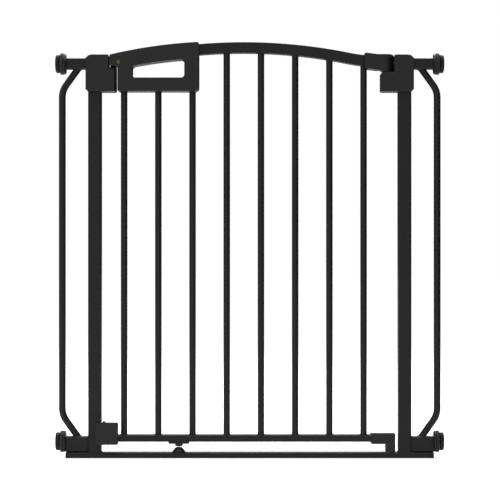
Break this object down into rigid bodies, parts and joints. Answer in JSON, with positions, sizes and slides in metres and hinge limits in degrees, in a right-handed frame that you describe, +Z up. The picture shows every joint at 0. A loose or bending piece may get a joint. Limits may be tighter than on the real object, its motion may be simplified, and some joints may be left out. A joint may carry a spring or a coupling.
{
  "type": "safety gate",
  "caption": "Pressure-fit doorway gate: black steel frame with a floor rail, screw-out wall pads, and a barred, arched door with a latch handle.",
  "frame": {"origin": "on the floor, under the middle of the gate's overall width and depth", "axes": "+X across the doorway to the hinge side, +Y through it away from the front, the way the door opens, +Z up"},
  "size_m": [0.729, 0.0408, 0.7795],
  "materials": {
    "powder_coated_steel": "satin black powder coat",
    "black_plastic": "fine moulded texture",
    "black_rubber": "matte",
    "zinc_steel": "bright zinc plate",
    "nylon": "natural nylon",
    "clear_plastic": "clear",
    "green_plastic": "green",
    "red_plastic": "red"
  },
  "bodies": {
    "frame": {"floor_rail": "powder_coated_steel", "floor_rail_plugs": "black_plastic", "left_post": "powder_coated_steel", "right_post": "powder_coated_steel", "upper_arms": "powder_coated_steel", "lower_arms": "powder_coated_steel", "side_bows": "powder_coated_steel", "arm_bushes": "black_plastic", "striker_front": "black_plastic", "striker_rear": "black_plastic", "striker_screws": "zinc_steel", "bracket_front": "black_plastic", "bracket_rear": "black_plastic", "bracket_screws": "zinc_steel", "upper_hinge_pin": "zinc_steel", "lower_hinge_pin": "zinc_steel", "hinge_spring": "zinc_steel", "hinge_washers": "nylon", "lower_catch": "black_plastic", "catch_screws": "zinc_steel", "catch_buffer": "black_rubber", "floor_stop": "black_plastic"},
    "door": {"arch_rail": "powder_coated_steel", "door_bottom_rail": "powder_coated_steel", "bar_1": "powder_coated_steel", "bar_2": "powder_coated_steel", "bar_3": "powder_coated_steel", "bar_4": "powder_coated_steel", "bar_5": "powder_coated_steel", "bar_6": "powder_coated_steel", "bar_7": "powder_coated_steel", "bar_8": "powder_coated_steel", "upper_hinge_piece": "black_plastic", "lower_corner_piece": "black_plastic", "rail_end_plug": "black_plastic", "handle_front": "black_plastic", "handle_rear": "black_plastic", "handle_screws": "zinc_steel", "indicator_window": "clear_plastic", "latch_spring": "zinc_steel", "spring_pin": "zinc_steel", "door_stop": "black_plastic"},
    "latch": {"latch_bolt": "zinc_steel", "thumb_slide": "black_plastic"},
    "flag": {"flag_green": "green_plastic", "flag_red": "red_plastic"},
    "upper_left_nut": {"upper_left_nut": "black_plastic"},
    "upper_left_spindle": {"upper_left_spindle": "zinc_steel", "upper_left_pad": "black_rubber"},
    "upper_right_nut": {"upper_right_nut": "black_plastic"},
    "upper_right_spindle": {"upper_right_spindle": "zinc_steel", "upper_right_pad": "black_rubber"},
    "lower_left_nut": {"lower_left_nut": "black_plastic"},
    "lower_left_spindle": {"lower_left_spindle": "zinc_steel", "lower_left_pad": "black_rubber"},
    "lower_right_nut": {"lower_right_nut": "black_plastic"},
    "lower_right_spindle": {"lower_right_spindle": "zinc_steel", "lower_right_pad": "black_rubber"}
  },
  "joints": [
    {"name": "door_swing", "type": "hinge", "parent": "frame", "child": "door", "pos_m": [0.261, 0, 0.4], "axis": [0, 0, -1], "range_deg": [0, 90], "stiffness_Nm_per_rad": 0.4, "springref_deg": -17.19},
    {"name": "latch_throw", "type": "slide", "parent": "door", "child": "latch", "axis": [-1, 0, 0], "range_m": [0, 0.009]},
    {"name": "flag_slide", "type": "slide", "parent": "door", "child": "flag", "axis": [-1, 0, 0], "range_m": [0, 0.008]},
    {"name": "upper_left_nut_turn", "type": "hinge", "parent": "frame", "child": "upper_left_nut", "pos_m": [-0.3505, 0, 0.7395], "axis": [1, 0, 0], "range_deg": [0, 3600]},
    {"name": "upper_left_spindle_slide", "type": "slide", "parent": "frame", "child": "upper_left_spindle", "axis": [-1, 0, 0], "range_m": [0, 0.03]},
    {"name": "upper_right_nut_turn", "type": "hinge", "parent": "frame", "child": "upper_right_nut", "pos_m": [0.3505, 0, 0.7395], "axis": [-1, 0, 0], "range_deg": [0, 3600]},
    {"name": "upper_right_spindle_slide", "type": "slide", "parent": "frame", "child": "upper_right_spindle", "axis": [1, 0, 0], "range_m": [0, 0.03]},
    {"name": "lower_left_nut_turn", "type": "hinge", "parent": "frame", "child": "lower_left_nut", "pos_m": [-0.3505, 0, 0.0303], "axis": [1, 0, 0], "range_deg": [0, 3600]},
    {"name": "lower_left_spindle_slide", "type": "slide", "parent": "frame", "child": "lower_left_spindle", "axis": [-1, 0, 0], "range_m": [0, 0.03]},
    {"name": "lower_right_nut_turn", "type": "hinge", "parent": "frame", "child": "lower_right_nut", "pos_m": [0.3505, 0, 0.0303], "axis": [-1, 0, 0], "range_deg": [0, 3600]},
    {"name": "lower_right_spindle_slide", "type": "slide", "parent": "frame", "child": "lower_right_spindle", "axis": [1, 0, 0], "range_m": [0, 0.03]}
  ],
  "couplings": [
    {"joint": "flag_slide", "follows": "door_swing", "m_per_rad": 0.0050879},
    {"joint": "upper_left_nut_turn", "follows": "upper_left_spindle_slide", "rad_per_m": 2094.4},
    {"joint": "upper_right_nut_turn", "follows": "upper_right_spindle_slide", "rad_per_m": 2094.4},
    {"joint": "lower_left_nut_turn", "follows": "lower_left_spindle_slide", "rad_per_m": 2094.4},
    {"joint": "lower_right_nut_turn", "follows": "lower_right_spindle_slide", "rad_per_m": 2094.4}
  ]
}
